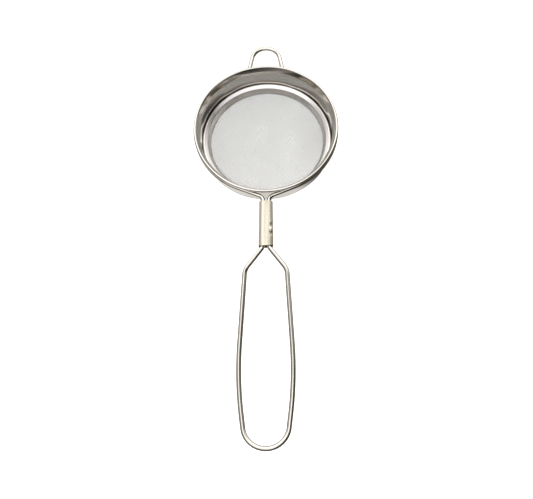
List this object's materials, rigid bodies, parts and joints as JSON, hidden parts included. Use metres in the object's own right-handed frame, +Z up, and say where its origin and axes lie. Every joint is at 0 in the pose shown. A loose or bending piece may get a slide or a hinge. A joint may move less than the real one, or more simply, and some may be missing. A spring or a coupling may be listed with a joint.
{
  "type": "tea strainer",
  "caption": "Small round tea strainer: pressed steel cup with a rolled rim and fine woven mesh floor, wire rest hook, and a long looped wire handle joined by an oval sleeve.",
  "frame": {"origin": "on the surface the cup stands on, under the middle of the whole object", "axes": "+Z up along the cup's axis; the rest hook points along +Y and the handle runs along -Y; +X is to the right of someone who holds the handle"},
  "size_m": [0.08, 0.2314, 0.0175],
  "materials": {
    "cup_steel": "polished stainless sheet",
    "ring_steel": "bright pressed stainless sheet",
    "screen_cloth": "fine woven stainless wire cloth",
    "wire_steel": "polished stainless wire",
    "sleeve_steel": "polished stainless tube"
  },
  "bodies": {
    "root": {"cup": "cup_steel", "retaining_ring": "ring_steel", "mesh_screen": "screen_cloth", "frame_wire": "wire_steel", "handle_wire": "wire_steel", "sleeve": "sleeve_steel"}
  },
  "joints": []
}
